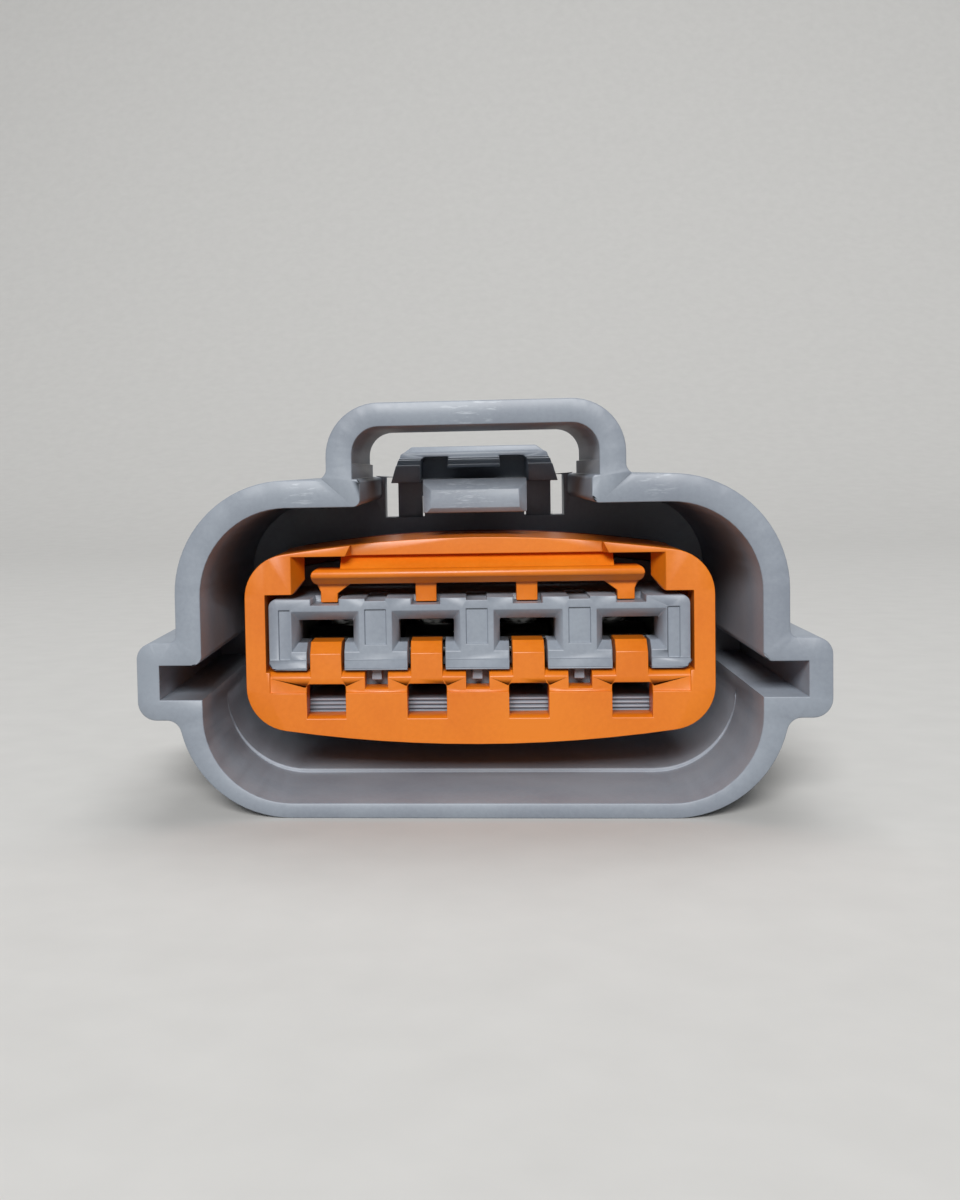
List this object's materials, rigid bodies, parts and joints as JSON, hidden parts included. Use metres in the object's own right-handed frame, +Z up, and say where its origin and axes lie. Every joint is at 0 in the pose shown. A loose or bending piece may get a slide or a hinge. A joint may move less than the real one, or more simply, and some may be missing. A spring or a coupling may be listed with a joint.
{
  "type": "sealed automotive connector",
  "caption": "Sealed in-line socket connector with a hooded mating face, guarded rocking latch, front contact lock and individual wire seals.",
  "frame": {"origin": "on the supporting surface, under the middle of the connector's length and width", "axes": "+Y from the mating rim to the wire side, +X along the row of contacts, +Z up towards the latch"},
  "size_m": [0.0326, 0.033, 0.0197],
  "materials": {
    "housing_plastic": "glass-filled polyester, fine moulded satin, blue-grey",
    "holder_plastic": "moulded satin, orange",
    "seal_rubber": "moulded silicone, brick red",
    "wire_seal_rubber": "moulded silicone, grey-blue",
    "tinned_strip": "tin-plated copper alloy strip"
  },
  "bodies": {
    "housing_body": {"housing": "housing_plastic", "perimeter_seal": "seal_rubber", "contact_1": "tinned_strip", "contact_2": "tinned_strip", "contact_3": "tinned_strip", "contact_4": "tinned_strip", "wire_seal_1": "wire_seal_rubber", "wire_seal_2": "wire_seal_rubber", "wire_seal_3": "wire_seal_rubber", "wire_seal_4": "wire_seal_rubber"},
    "latch_body": {"latch_arm": "housing_plastic"},
    "holder_body": {"front_holder": "holder_plastic"}
  },
  "joints": [
    {"name": "latch_rock", "type": "hinge", "parent": "housing_body", "child": "latch_body", "pos_m": [0, 0.0007, 0.01392], "axis": [-1, 0, 0], "range_deg": [0, 5], "stiffness_Nm_per_rad": 0.02, "springref_deg": -2.86},
    {"name": "holder_slide", "type": "slide", "parent": "housing_body", "child": "holder_body", "axis": [0, -1, 0], "range_m": [0, 0.0018]}
  ]
}
